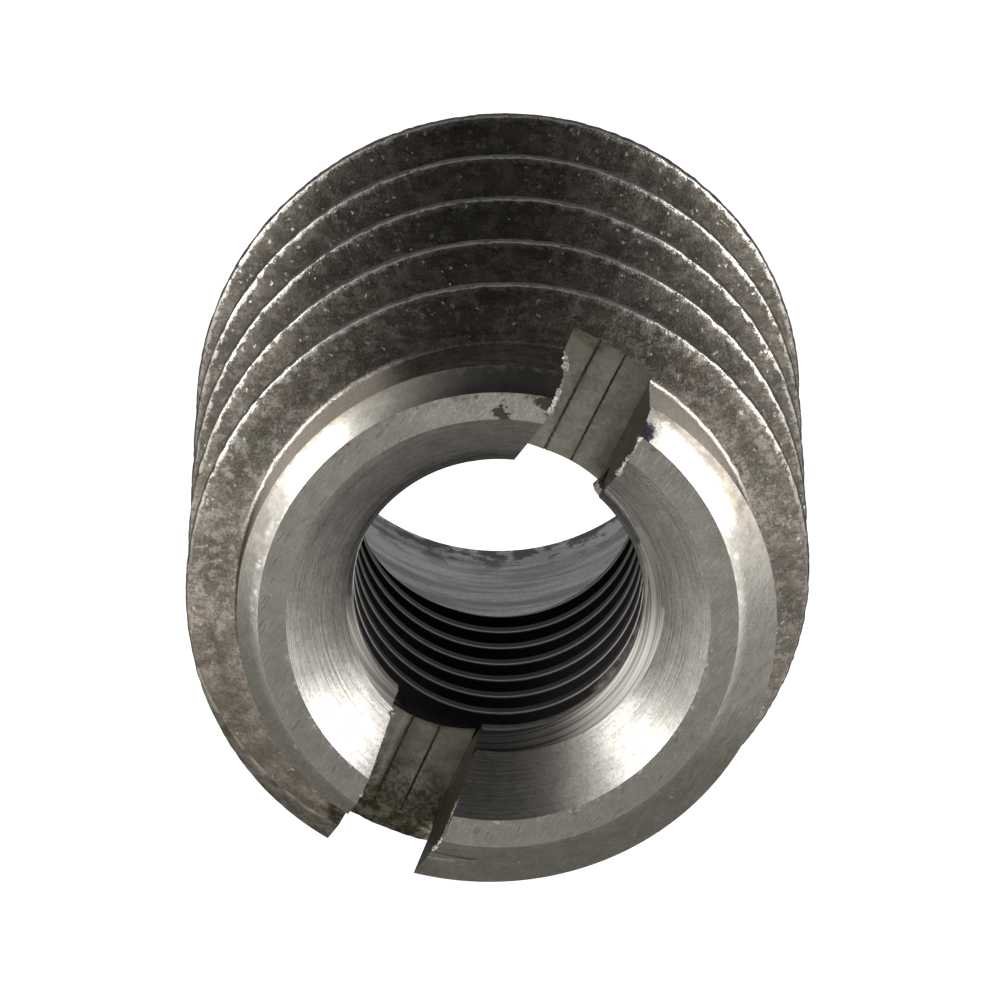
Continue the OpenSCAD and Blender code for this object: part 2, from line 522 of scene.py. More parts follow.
# %% Lines along the slot's edges
def end_height(radius):
    """Height of the slotted end's turned surface at a radius."""
    if radius < SINK_R:
        return LENGTH - (SINK_R - radius) * SINK_DEPTH / (SINK_R - BORE_R)
    return LENGTH - max(0.0, radius - FACE_R) / math.tan(CHAMFER_ANGLE)


def edge_point(side, end, radius, height=None):
    """A point of the slot's edge. side is -1 or 1 across the slot, and end is -1 or 1 along it."""
    along = math.sqrt(radius ** 2 - SLOT_HALF ** 2)
    spot = ACROSS * (side * SLOT_HALF) + ALONG * (end * along)
    return spot + Vector((0, 0, end_height(radius) if height is None else height))


# Each lip has its line, and the bead's radius where it is thin and where it is thick
root_top = end_height(ROOT_R)
TORN = {
    "upper_left": (polyline("upper_left", [
        edge_point(-1, 1, 7.9), edge_point(-1, 1, FACE_R), edge_point(-1, 1, ROOT_R),
        edge_point(-1, 1, ROOT_R, root_top - 2.4)]), 0.02, 0.16),
    "upper_right": (polyline("upper_right", [
        edge_point(1, 1, 6.7), edge_point(1, 1, 7.9), edge_point(1, 1, FACE_R)]), 0.03, 0.15),
    "lower_left": (polyline("lower_left", [
        edge_point(-1, -1, 5.6), edge_point(-1, -1, 8.2)]), 0.045, 0.16),
    "lower_right": (polyline("lower_right", [
        edge_point(1, -1, 6.9), edge_point(1, -1, FACE_R), edge_point(1, -1, ROOT_R)]), 0.02, 0.09),
    "bore_corner": (polyline("bore_corner", [
        edge_point(1, 1, BORE_R + 0.10, BORE_TOP - 1.1), edge_point(1, 1, BORE_R + 0.15, BORE_TOP - 0.2)]),
        0.16, 0.32),
}
torn_tree = torn_edge_tree()
beads = [grown("torn_" + name, line, torn_tree, Step=0.045, Thin=thin, Thick=thick, Shake=0.13, Per_mm=7.0,
               Seed=4.0 + 7.0 * number, Finish=FINISH["torn_edge"])
         for number, (name, (line, thin, thick)) in enumerate(TORN.items())]
print("faces in the torn lips:", sum(len(bead.data.polygons) for bead in beads))

# %% [markdown]
# ## Cutting the solids
#
# The bar is kept only inside the blank, and the core, the tap and the disc cutter are taken away.
# Boolean modifiers do this. The Manifold solver is used because it is fast and leaves a closed
# mesh, and it carries each cutter's finish over to the faces that it makes.

# %% Grow both threads
bar_tree = helical_bar_tree()
OUTER_TURNS, TURNS_BELOW, TAP_TURNS = 9, 7, 10
WEAR_BAND = 0.25
NEVER_WORN = 99.0
bar = grown("outer_bar", outer_section, bar_tree, Pitch=THREAD_PITCH,
            Start_height=CREST_START - TURNS_BELOW * THREAD_PITCH, Turns=OUTER_TURNS, Steps=480,
            Wear_radius=CREST_R - WEAR_BAND, Wear_band=WEAR_BAND, Wear_depth=0.05, Wear_scale=2.6,
            Seed=3.0, Finish=FINISH["tarnished_thread"])

tap_start = TAP_CREST_START + TAP_PITCH / 2
tap_section = polyline("tap_section", thread_section(
    TAP_R, BORE_R - TAP_OVERLAP, TAP_FLAT, TAP_FLANK, TAP_PITCH, edge=0.03, fillet=0.03))
tap = grown("tap", tap_section, bar_tree, Pitch=TAP_PITCH, Start_height=tap_start - TAP_TURNS * TAP_PITCH,
            Turns=TAP_TURNS, Steps=240, Wear_radius=NEVER_WORN, Wear_band=1.0, Wear_depth=0.0, Wear_scale=1.0,
            Seed=0.0, Finish=FINISH["tapped_thread"])
print("faces:", len(bar.data.polygons), "in the outer bar and", len(tap.data.polygons), "in the tap")


# %% Cut one body out of them
def cut(body, tool, operation):
    modifier = body.modifiers.new(operation.lower(), "BOOLEAN")
    modifier.operation = operation
    modifier.object = tool
    modifier.solver = "MANIFOLD"
    modifier.material_mode = "TRANSFER"


cut(bar, blank, "INTERSECT")
cut(bar, core, "DIFFERENCE")
cut(bar, tap, "DIFFERENCE")
cut(bar, cutter, "DIFFERENCE")
for bead in beads:
    cut(bar, bead, "UNION")
insert = settle(bar)
insert.name = "insert_body"
for tool in (blank, core, tap, cutter, *beads):
    bpy.data.objects.remove(tool)
print("faces after the cuts:", len(insert.data.polygons))


# %% Scale to metres and mark the sharp edges
SHARP_ANGLE = math.radians(28)
insert.data.transform(Matrix.Scale(MM, 4))
insert.data.shade_smooth()
insert.data.set_sharp_from_angle(angle=SHARP_ANGLE)
print("sharp edges:", sum(edge.use_edge_sharp for edge in insert.data.edges))

# %% [markdown]
# ## Where a point lies on the part
#
# All finishes follow the part's own geometry: turning marks run round the axis, tarnish sits in the
# thread, and bright metal shows on the crests. One group works these places out from the Object
# coordinates, in millimetres: the point itself, its distance from the axis, its height, a vector that
# changes only slowly round the axis, the distance up the axis from the nearest crest of each thread,
# and the place across and along the slot.

# %% Shader helpers
def rgb(red, green, blue):
    return (red, green, blue, 1.0)


def blend(tree, factor, first, second):
    """Mixes two colours."""
    node = add(tree, "ShaderNodeMix", {0: factor, 6: first, 7: second}, data_type="RGBA")
    return node.outputs[2]


def layered(tree, colour, *layers):
    """Lays colours over one another, each given as (how much of it lies here, colour)."""
    for share, layer in layers:
        colour = blend(tree, share, colour, layer)
    return colour


def ramp(tree, value, start, end, low=0.0, high=1.0):
    """Goes smoothly from low to high as the value goes from start to end."""
    return add(tree, "ShaderNodeMapRange", {0: value, 1: start, 2: end, 3: low, 4: high},
               interpolation_type="SMOOTHSTEP").outputs[0]


def noise(tree, point, scale, detail=2.0, roughness=0.5, distortion=0.0):
    return add(tree, "ShaderNodeTexNoise", {"Vector": point, "Scale": scale, "Detail": detail,
                                            "Roughness": roughness, "Distortion": distortion}).outputs[0]


# %% Short forms for sums that come back often
def product(tree, first, *others):
    """Multiplies any number of values."""
    return maths(tree, "MULTIPLY", first, product(tree, *others)) if others else first


def largest(tree, first, *others):
    """The largest of any number of values."""
    return maths(tree, "MAXIMUM", first, largest(tree, *others)) if others else first


def off(tree, value, centre):
    """How far a value is from a centre, to either side."""
    return maths(tree, "ABSOLUTE", maths(tree, "SUBTRACT", value, centre))


def centred(tree, value, width):
    """Turns noise from 0 to 1 into a shift of up to half the width to either side."""
    return maths(tree, "MULTIPLY_ADD", value, width, -width / 2)


# %% Making and placing a group
def shader_group(name, inputs, outputs):
    """An empty shader node group with named inputs and outputs, given as {name: type}."""
    tree = bpy.data.node_groups.new(name, "ShaderNodeTree")
    new_inputs(tree, inputs)
    for output, kind in outputs.items():
        tree.interface.new_socket(output, in_out="OUTPUT", socket_type="NodeSocket" + kind)
    return tree, tree.nodes.new("NodeGroupInput").outputs, tree.nodes.new("NodeGroupOutput").inputs


def use(tree, group, **inputs):
    """Places a node group in a tree and fills its named inputs. Returns its outputs."""
    values = {key.replace("_", " "): value for key, value in inputs.items()}
    return add(tree, "ShaderNodeGroup", values, node_tree=group).outputs


def mask(tree, group, **inputs):
    """Places a group that puts out one mask. Returns the mask."""
    return use(tree, group, **inputs)["Mask"]


# %% The place group
HEIGHT_SHARE = 1.37


def place_group():
    tree, _, out = shader_group("place_on_part", {}, {
        "Point": "Vector", "X": "Float", "Y": "Float", "Height": "Float", "Radius": "Float",
        "Around": "Vector", "From crest": "Float", "From inner crest": "Float",
        "Across slot": "Float", "Along slot": "Float"})
    metres = add(tree, "ShaderNodeTexCoord").outputs["Object"]
    point = vector_maths(tree, "SCALE", metres, 1 / MM)
    x, y, height = add(tree, "ShaderNodeSeparateXYZ", {0: point}).outputs
    radius = maths(tree, "SQRT", maths(tree, "ADD", product(tree, x, x), product(tree, y, y)))
    angle = maths(tree, "ARCTAN2", y, x)
    # On every turned face this sum changes from ring to ring, so equal sums run round the axis
    along = maths(tree, "MULTIPLY_ADD", height, HEIGHT_SHARE, radius)
    around = vector(tree, along, maths(tree, "DIVIDE", x, radius), maths(tree, "DIVIDE", y, radius))

    def from_nearest_crest(pitch, start):
        climb = maths(tree, "MULTIPLY_ADD", angle, -pitch / math.tau, maths(tree, "SUBTRACT", height, start))
        return maths(tree, "WRAP", climb, pitch / 2, -pitch / 2)

    values = {"Point": point, "X": x, "Y": y, "Height": height, "Radius": radius, "Around": around,
              "From crest": from_nearest_crest(THREAD_PITCH, CREST_START),
              "From inner crest": from_nearest_crest(TAP_PITCH, TAP_CREST_START),
              "Across slot": vector_maths(tree, "DOT_PRODUCT", point, ACROSS),
              "Along slot": vector_maths(tree, "DOT_PRODUCT", point, ALONG)}
    for name, value in values.items():
        tree.links.new(value, out[name])
    return tree


PLACE = place_group()
print("the place group puts out", len(PLACE.interface.items_tree), "values")


# %% Turning marks, scratches, specks and blots as groups
def turning_group():
    """Fine rings that a turning tool leaves. Their spacing is given per millimetre."""
    tree, given, out = shader_group("turning_marks", {"Rings per mm": "Float", "Wander": "Float"},
                                    {"Height": "Float"})
    spread = vector(tree, given["Rings per mm"], given["Wander"], given["Wander"])
    stretched = vector_maths(tree, "MULTIPLY", use(tree, PLACE)["Around"], spread)
    tree.links.new(noise(tree, stretched, 1.0, 3.0, 0.6), out["Height"])
    return tree


def scratch_group():
    """Short straight scratches in one direction, across the axis. Long and thin cells of noise."""
    tree, given, out = shader_group("scratches", {"Direction": "Float", "Per mm": "Float", "Stretch": "Float",
                                                  "Share": "Float", "Seed": "Float"}, {"Mask": "Float"})
    point = use(tree, PLACE)["Point"]
    turned_point = add(tree, "ShaderNodeVectorRotate", {"Vector": point, "Angle": given["Direction"]},
                       rotation_type="Z_AXIS").outputs[0]
    lengthwise = maths(tree, "DIVIDE", given["Per mm"], given["Stretch"])
    spread = vector(tree, given["Per mm"], lengthwise, lengthwise)
    stretched = vector_maths(tree, "MULTIPLY_ADD", turned_point, spread, vector(tree, given["Seed"]))
    value = noise(tree, stretched, 1.0, 2.0, 0.5, 0.15)
    start = maths(tree, "SUBTRACT", 0.78, maths(tree, "MULTIPLY", given["Share"], 0.4))
    tree.links.new(ramp(tree, value, start, maths(tree, "ADD", start, 0.08)), out["Mask"])
    return tree


def speck_group():
    """Tiny spots of bare metal, each in a cell of its own, where the cell's random value is low."""
    tree, given, out = shader_group("bright_specks", {"Per mm": "Float", "Share": "Float", "Size": "Float"},
                                    {"Mask": "Float"})
    point = use(tree, PLACE)["Point"]
    bend = add(tree, "ShaderNodeTexNoise", {"Vector": point, "Scale": 9.0, "Detail": 2.0}).outputs["Color"]
    bent = vector_maths(tree, "MULTIPLY_ADD", bend, (0.22, 0.22, 0.22), point)
    cells = add(tree, "ShaderNodeTexVoronoi", {"Vector": bent, "Scale": given["Per mm"], "Randomness": 1.0},
                feature="F1")
    pick = add(tree, "ShaderNodeSeparateColor", {0: cells.outputs["Color"]}).outputs
    chosen = maths(tree, "LESS_THAN", pick[0], given["Share"])
    size = maths(tree, "MULTIPLY", given["Size"], maths(tree, "MULTIPLY_ADD", pick[1], 0.8, 0.35))
    near = ramp(tree, cells.outputs["Distance"], size, maths(tree, "MULTIPLY", size, 0.3))
    shine = maths(tree, "MULTIPLY_ADD", pick[2], 0.7, 0.3)
    tree.links.new(product(tree, shine, chosen, near), out["Mask"])
    return tree


def blot_group():
    """One stain with a ragged border, round a given point of the part."""
    tree, given, out = shader_group("blot", {"Centre": "Vector", "Size": "Float", "Ragged": "Float"},
                                    {"Mask": "Float"})
    point = use(tree, PLACE)["Point"]
    away = vector_maths(tree, "DISTANCE", point, given["Centre"])
    border = product(tree, maths(tree, "SUBTRACT", noise(tree, point, 3.0, 4.0, 0.7), 0.5), given["Ragged"])
    share = maths(tree, "DIVIDE", maths(tree, "ADD", away, border), given["Size"])
    tree.links.new(ramp(tree, share, 1.0, 0.7), out["Mask"])
    return tree


TURNING = turning_group()
SCRATCHES = scratch_group()
SPECKS = speck_group()
BLOT = blot_group()


# %% A steel finish
def begin(name):
    """The finish's own node tree, and the place group's outputs in it."""
    tree = FINISH[name].node_tree
    return tree, use(tree, PLACE)


def steel(name, colour, roughness, height, relief, anisotropic=0.0, metallic=1.0):
    """Wires colour, roughness and a relief of so many mm to the material's own shader."""
    tree = FINISH[name].node_tree
    shader = tree.nodes["Principled BSDF"]
    shader.inputs["Anisotropic"].default_value = anisotropic
    for socket, value in (("Base Color", colour), ("Roughness", roughness), ("Metallic", metallic)):
        if isinstance(value, bpy.types.NodeSocket):
            tree.links.new(value, shader.inputs[socket])
        else:
            shader.inputs[socket].default_value = value
    bump = add(tree, "ShaderNodeBump", {"Strength": 1.0, "Distance": relief * MM, "Height": height})
    tree.links.new(bump.outputs[0], shader.inputs["Normal"])
    if anisotropic:
        tangent = add(tree, "ShaderNodeTangent", direction_type="RADIAL", axis="Z")
        tree.links.new(tangent.outputs[0], shader.inputs["Tangent"])
    print(name, "has", len(tree.nodes), "nodes")


# %% [markdown]
# ## The tarnished outer thread
#
# The thread of the real insert is dark and uneven, in brown, green and grey, as oil or heat can
# leave it, and its knocks show bare metal. A painted picture could stand for that, but it would need
# a flat map of the helix and show a seam. Layers of noise in Object coordinates are used instead:
# they have no seam and keep their size in millimetres. Each layer is one thing, such as clouds of
# tarnish, worn patches, smears, pits, bare crests and specks. The crest line is also a painted
# highlight. The root beside the chamfer and the mouth of the slot have layers of their own, placed
# by height and side, and the root's beige at the sides is also painted light. The darker tones
# further down and at the right are painted shade. The darker tones further down and at the right
# were matched to how the real part looks, and may be its light, not its skin.

# %% Tarnished thread
GRIME_CENTRE = (-6.6, -7.4, 26.5)
SLIVER_X = -1.6


def tarnished_thread():
    tree, place = begin("tarnished_thread")
    point, x, y, height, radius = (place[key] for key in ("Point", "X", "Y", "Height", "Radius"))
    cloud = noise(tree, point, 0.40, 4.0, 0.60)
    tint = noise(tree, point, 0.9, 3.0, 0.6)
    grain = noise(tree, point, 11.0, 3.0, 0.72)
    patches = noise(tree, point, 2.1, 6.0, 0.68)
    smears = noise(tree, vector_maths(tree, "MULTIPLY", point, (1.1, 3.2, 3.2)), 1.0, 5.0, 0.68)
    clouds = blend(tree, ramp(tree, cloud, 0.36, 0.66), rgb(0.135, 0.127, 0.113), rgb(0.285, 0.257, 0.219))
    # Brown and green tints, worn patches, smears, pits and bright grains
    tarnish = layered(
        tree, clouds,
        (ramp(tree, tint, 0.48, 0.30, 0.0, 0.50), rgb(0.200, 0.155, 0.135)),
        (ramp(tree, tint, 0.50, 0.70, 0.0, 0.55), rgb(0.140, 0.148, 0.105)),
        (ramp(tree, patches, 0.49, 0.57, 0.0, 0.62), rgb(0.40, 0.362, 0.312)),
        (ramp(tree, smears, 0.49, 0.43, 0.0, 0.62), rgb(0.125, 0.102, 0.078)),
        (ramp(tree, grain, 0.50, 0.36, 0.0, 0.55), rgb(0.045, 0.042, 0.037)),
        (ramp(tree, grain, 0.56, 0.76, 0.0, 0.60), rgb(0.44, 0.41, 0.365)))
    # Next to the chamfer the root is bare and beige, with a thin bright burr where the flank starts. Both lie
    # only at the two sides, where their lighter tone is also painted light
    root_band_at_lit_sides = product(tree, ramp(tree, height, LENGTH - 5.2, LENGTH - 4.4),
                     ramp(tree, off(tree, x, 0.0), 2.6, 5.0), ramp(tree, y, 2.2, 5.0))
    out_of_root = maths(tree, "ADD", maths(tree, "SUBTRACT", radius, ROOT_R), centred(tree, patches, 0.30))
    root = product(tree, root_band_at_lit_sides, ramp(tree, out_of_root, 0.12, 0.04))
    beige = blend(tree, ramp(tree, grain, 0.35, 0.65), rgb(0.38, 0.325, 0.265), rgb(0.66, 0.60, 0.52))
    # Grime lies thickest round one point at the left, beside the slot's -Y end
    from_grime = vector_maths(tree, "DISTANCE", point, GRIME_CENTRE)
    grime = product(tree, ramp(tree, from_grime, 8.5, 3.5, 0.0, 0.80), ramp(tree, tint, 0.30, 0.60, 0.5, 1.0))
    # The turns further from the slotted end are painted darker, and so is the right side of the first flank:
    # painted shade
    depth = product(tree, ramp(tree, height, LENGTH - 4.5, LENGTH - 11.5, 0.0, 0.58),
                    ramp(tree, cloud, 0.30, 0.62, 1.0, 0.8),
                    ramp(tree, off(tree, x, 0.0), 3.0, 7.5, 0.6, 1.0))
    right_shade = product(tree, ramp(tree, x, 6.0, 9.5), ramp(tree, y, 3.5, 0.0, 0.0, 0.32))
    # Oily dirt lies where the slot runs out through the thread, at one end only
    beside = maths(tree, "ADD", off(tree, place["Across slot"], 0.0), centred(tree, smears, 3.0))
    in_slot = product(tree, ramp(tree, beside, 2.5, 1.7), ramp(tree, place["Along slot"], -7.0, -8.5),
                      ramp(tree, maths(tree, "ADD", height, smears), LENGTH - 8.6, LENGTH - 7.0))
    oil = blend(tree, ramp(tree, patches, 0.42, 0.62), rgb(0.016, 0.014, 0.009), rgb(0.075, 0.067, 0.044))
    # A thin sliver of this thread's root crosses the chamfer beside the slot. The real part shows none,
    # so the sliver only takes the chamfer's colour here, and its shape stays
    from_cone = maths(tree, "SUBTRACT",
                      product(tree, maths(tree, "SUBTRACT", LENGTH, height), math.tan(CHAMFER_ANGLE)),
                      maths(tree, "SUBTRACT", radius, FACE_R))
    sliver = product(tree, ramp(tree, from_cone, 0.45, 0.25), ramp(tree, y, -7.0, -8.0),
                     ramp(tree, off(tree, x, SLIVER_X), 2.4, 1.8))
    skin = layered(
        tree, tarnish,
        (root, beige),
        (grime, rgb(0.070, 0.058, 0.044)),
        (largest(tree, depth, right_shade), rgb(0.052, 0.048, 0.042)),
        (in_slot, oil),
        (sliver, rgb(0.125, 0.120, 0.104)))
    # A bright broken line runs along the crests: worn metal, and a painted highlight on the crest edges. It
    # is painted clear at the +Y side and faint at the -Y side, as painted light and shade
    ragged = centred(tree, noise(tree, point, 3.2, 4.0, 0.75), 0.55)
    from_edge = off(tree, place["From crest"], CREST_LAND / 2 - 0.02)
    land = ramp(tree, off(tree, place["From crest"], 0.0), CREST_LAND / 2 + 0.02, CREST_LAND / 2 - 0.04)
    below_chamfer = ramp(tree, height, LENGTH - 2.7, LENGTH - 3.1)
    line = largest(tree, ramp(tree, maths(tree, "ADD", from_edge, ragged), 0.10, 0.05),
                   product(tree, land, 0.15))
    crest = product(tree, line, below_chamfer, ramp(tree, y, 6.5, 0.5, 1.0, 0.12),
                    ramp(tree, radius, CREST_R - 0.26, CREST_R - 0.10))
    # Small knocks show bare steel as specks, many along the crests and few on the flanks
    knocks = product(tree, mask(tree, SPECKS, Per_mm=4.6, Share=0.17, Size=0.45), below_chamfer,
                     ramp(tree, from_edge, 0.75, 0.15))
    speck = largest(
        tree, knocks,
        mask(tree, SPECKS, Per_mm=4.3, Share=0.05, Size=0.36),
        mask(tree, SPECKS, Per_mm=1.3, Share=0.14, Size=0.13),
        mask(tree, SCRATCHES, Direction=-0.9, Per_mm=7.0, Stretch=3.5, Share=0.16, Seed=4.0))
    burr = product(tree, root_band_at_lit_sides, ramp(tree, off(tree, out_of_root, 0.12), 0.06, 0.03))
    undisturbed = maths(tree, "SUBTRACT", 1.0, largest(tree, in_slot, sliver))
    # Bare metal and the painted crest highlight take one bright colour
    bare_and_highlight = product(tree, largest(tree, speck, crest, burr), undisturbed)
    colour = blend(tree, bare_and_highlight, skin, rgb(0.72, 0.69, 0.64))
    bumps = maths(tree, "ADD", maths(tree, "MULTIPLY_ADD", grain, 0.6, patches), product(tree, speck, -0.5))
    steel("tarnished_thread", colour, ramp(tree, bare_and_highlight, 0.0, 1.0, 0.35, 0.25), bumps, relief=0.016,
          metallic=ramp(tree, root, 0.0, 1.0, 1.0, 0.25))


tarnished_thread()


# %% [markdown]
# ## The bright chamfer
#
# The chamfer is the brightest face, as if it was turned last. One half is clean apart from a dull
# skin at its outer edge, and the other half is oily. Two materials would leave a hard line between
# the halves. One material that blends along Y has none, and noise added to the radius makes the
# border of the skin ragged.

# %% Bright chamfer
GRAIN_DIRECTION = math.radians(32)


def bright_chamfer():
    tree, place = begin("bright_chamfer")
    point, x, side, radius = (place[key] for key in ("Point", "X", "Y", "Radius"))
    smear = noise(tree, point, 1.6, 4.0, 0.65)
    torn = noise(tree, point, 2.2, 5.0, 0.70)
    grain = noise(tree, point, 7.5, 4.0, 0.70)
    streaks = mask(tree, SCRATCHES, Direction=GRAIN_DIRECTION, Per_mm=7.5, Stretch=6.0, Share=0.62, Seed=9.0)
    clean = blend(tree, ramp(tree, smear, 0.38, 0.66), rgb(0.455, 0.433, 0.382), rgb(0.592, 0.576, 0.531))
    # One half is clean, with a dull beige skin along its outer edge that has a ragged border
    outward = maths(tree, "ADD", radius, centred(tree, torn, 0.9))
    dull = product(tree, ramp(tree, side, 0.5, 4.0), ramp(tree, outward, FACE_R + 0.58, FACE_R + 0.80))
    skin = blend(tree, ramp(tree, torn, 0.3, 0.7), rgb(0.225, 0.185, 0.145), rgb(0.52, 0.47, 0.40))
    # The other half is dirty: olive grey by the ring and brown further out
    lower = ramp(tree, side, 0.5, -5.0)
    outside = product(tree, ramp(tree, outward, FACE_R + 0.7, FACE_R + 1.1), ramp(tree, x, -1.5, -4.5))
    olive = blend(tree, grain, rgb(0.175, 0.168, 0.138), rgb(0.415, 0.400, 0.345))
    brown = blend(tree, ramp(tree, torn, 0.35, 0.65), rgb(0.130, 0.106, 0.080), rgb(0.33, 0.298, 0.252))
    # The chamfer is painted darker at the left, as painted shade, and lighter at the right, as a painted
    # highlight
    near_middle = ramp(tree, off(tree, side, -0.8), 5.0, 2.2)
    left_shade = product(tree, near_middle, ramp(tree, x, -4.0, -7.0, 0.0, 0.30))
    right = product(tree, near_middle, ramp(tree, x, 4.0, 7.0, 0.0, 0.28))
    # Dirt sits in the corner beside the slot, and knocks show along the inner edge
    corner = mask(tree, BLOT, Centre=edge_point(1, 1, FACE_R + 0.15), Size=0.52, Ragged=0.8)
    inner_edge = product(tree, ramp(tree, radius, FACE_R + 0.50, FACE_R + 0.08),
                         ramp(tree, side, -1.0, 1.0), ramp(tree, side, 6.0, 4.5))
    knocks = product(tree, mask(tree, SPECKS, Per_mm=3.2, Share=0.60, Size=0.80), inner_edge)
    dots = product(tree, mask(tree, SPECKS, Per_mm=2.4, Share=0.16, Size=0.22), ramp(tree, side, 6.0, 3.0))
    colour = layered(
        tree, clean,
        (product(tree, dull, 0.90), skin),
        (lower, blend(tree, outside, olive, brown)),
        (left_shade, rgb(0.220, 0.208, 0.175)),
        (right, rgb(0.90, 0.88, 0.83)),
        (ramp(tree, grain, 0.52, 0.36, 0.0, 0.18), rgb(0.16, 0.15, 0.13)),
        (product(tree, streaks, maths(tree, "MULTIPLY_ADD", lower, 0.24, 0.14)), rgb(0.22, 0.208, 0.182)),
        (corner, rgb(0.035, 0.032, 0.045)),
        (largest(tree, knocks, dots), rgb(0.93, 0.92, 0.90)))
    rough = maths(tree, "ADD", ramp(tree, smear, 0.3, 0.7, 0.27, 0.19),
                  product(tree, largest(tree, dull, lower), 0.16))
    steel("bright_chamfer", colour, rough, maths(tree, "MULTIPLY_ADD", grain, 0.7, smear), relief=0.0035)


bright_chamfer()


# %% [markdown]
# ## The end ring
#
# The marks on the flat end are straight and all point one way, as grinding would leave them, and
# turned rings would look wrong. The scratch group draws them as long, thin cells of noise. The two
# stains are single spots on the real part, so each is one blot group at its place. The strength of
# the marks changes with the side, and the darker -Y half of the ring is painted shade.

# %% End ring
# Each stain has its place across the end, its size and how ragged its border is
STAINS = ((0.1, 7.72, 0.33, 1.5), (1.75, 8.05, 0.46, 1.6))


def end_ring():
    tree, place = begin("end_ring")
    point, x, y, radius = (place[key] for key in ("Point", "X", "Y", "Radius"))
    smear = noise(tree, point, 1.2, 4.0, 0.65)
    grain = noise(tree, point, 7.0, 4.0, 0.68)
    brushed = mask(tree, SCRATCHES, Direction=GRAIN_DIRECTION, Per_mm=12.0, Stretch=10.0, Share=0.62,
                   Seed=2.0)
    base = blend(tree, ramp(tree, smear, 0.35, 0.7), rgb(0.335, 0.320, 0.292), rgb(0.425, 0.409, 0.376))
    strength = largest(tree, ramp(tree, x, 6.0, 0.0, 0.12, 0.38), ramp(tree, y, -0.5, -4.0, 0.0, 0.42))
    beige = product(tree, ramp(tree, y, 6.8, 7.6, 0.0, 0.28), ramp(tree, x, -4.5, -2.0))
    warm = blend(tree, ramp(tree, grain, 0.35, 0.65), rgb(0.45, 0.44, 0.37), rgb(0.66, 0.65, 0.56))
    blots = [mask(tree, BLOT, Centre=(stain_x, stain_y, LENGTH), Size=size, Ragged=ragged)
             for stain_x, stain_y, size, ragged in STAINS]
    border = product(tree, mask(tree, SPECKS, Per_mm=4.0, Share=0.60, Size=0.90),
                     ramp(tree, radius, FACE_R - 0.32, FACE_R - 0.12), ramp(tree, y, 5.5, 7.0, 0.0, 0.75))
    # Bright specks of torn metal lie along the inner border of one half
    torn = product(tree, mask(tree, SPECKS, Per_mm=4.2, Share=0.55, Size=0.75),
                   ramp(tree, radius, SINK_R + 0.24, SINK_R + 0.06), ramp(tree, y, 0.5, -2.0, 0.0, 0.75))
    colour = layered(
        tree, base,
        (ramp(tree, grain, 0.42, 0.68, 0.0, 0.6), rgb(0.40, 0.385, 0.35)),
        (product(tree, brushed, strength), rgb(0.160, 0.152, 0.135)),
        # The -Y half of the ring is painted darker: painted shade
        (ramp(tree, y, 2.0, -6.0, 0.0, 0.35), rgb(0.200, 0.190, 0.168)),
        (beige, warm),
        (product(tree, largest(tree, *blots, border), 0.88), rgb(0.048, 0.040, 0.026)),
        (torn, rgb(0.82, 0.81, 0.78)))
    bumps = maths(tree, "MULTIPLY_ADD", brushed, -0.4, maths(tree, "ADD", smear, grain))
    steel("end_ring", colour, ramp(tree, brushed, 0.0, 1.0, 0.42, 0.36), bumps, relief=0.016)


end_ring()


# %% [markdown]
# ## The countersink
#
# The marks of the countersink run round the axis. On turned steel each highlight is stretched
# across such marks. Modelled grooves would cost far too many faces, so a little anisotropy
# with a tangent round the axis does the stretching, and the turning group breaks it up as relief.

# %% Countersink
def turned_countersink():
    tree, place = begin("turned_countersink")
    point, x, y, radius = (place[key] for key in ("Point", "X", "Y", "Radius"))
    smear = noise(tree, point, 1.3, 4.0, 0.62)
    grain = noise(tree, point, 8.0, 3.0, 0.65)
    marks = use(tree, TURNING, Rings_per_mm=6.5, Wander=0.9)["Height"]
    clean = blend(tree, ramp(tree, smear, 0.35, 0.7), rgb(0.55, 0.531, 0.492), rgb(0.69, 0.669, 0.629))
    # Below its mouth the countersink runs into the first turn of the thread, in dull and bright rings
    fine_rings = use(tree, TURNING, Rings_per_mm=11.0, Wander=0.35)["Height"]
    run_in = ramp(tree, maths(tree, "MULTIPLY_ADD", smear, 0.5, radius), BORE_R + 0.95, BORE_R + 0.60)
    ringed = product(tree, run_in, ramp(tree, y, 3.0, -1.5, 0.75, 0.22),
                     ramp(tree, fine_rings, 0.62, 0.42, 0.30, 1.0))
    # Its -Y end and its right side are painted darker: painted shade
    front_end_shade = product(tree, ramp(tree, y, -4.2, -5.8), ramp(tree, x, 3.6, 1.2, 0.0, 0.42))
    right_shade = product(tree, ramp(tree, x, 3.5, 5.5), ramp(tree, y, -0.5, -3.0, 0.0, 0.22))
    colour = layered(
        tree, clean,
        (ramp(tree, grain, 0.52, 0.34, 0.0, 0.45), rgb(0.27, 0.258, 0.235)),
        (ringed, rgb(0.12, 0.115, 0.11)),
        (front_end_shade, rgb(0.10, 0.095, 0.10)),
        (right_shade, rgb(0.10, 0.095, 0.09)))
    bumps = maths(tree, "MULTIPLY_ADD", grain, 0.55, marks)
    steel("turned_countersink", colour, ramp(tree, marks, 0.3, 0.7, 0.25, 0.33), bumps, relief=0.0075,
          anisotropic=0.2, metallic=ramp(tree, y, -4.0, 2.0, 0.93, 0.84))


turned_countersink()
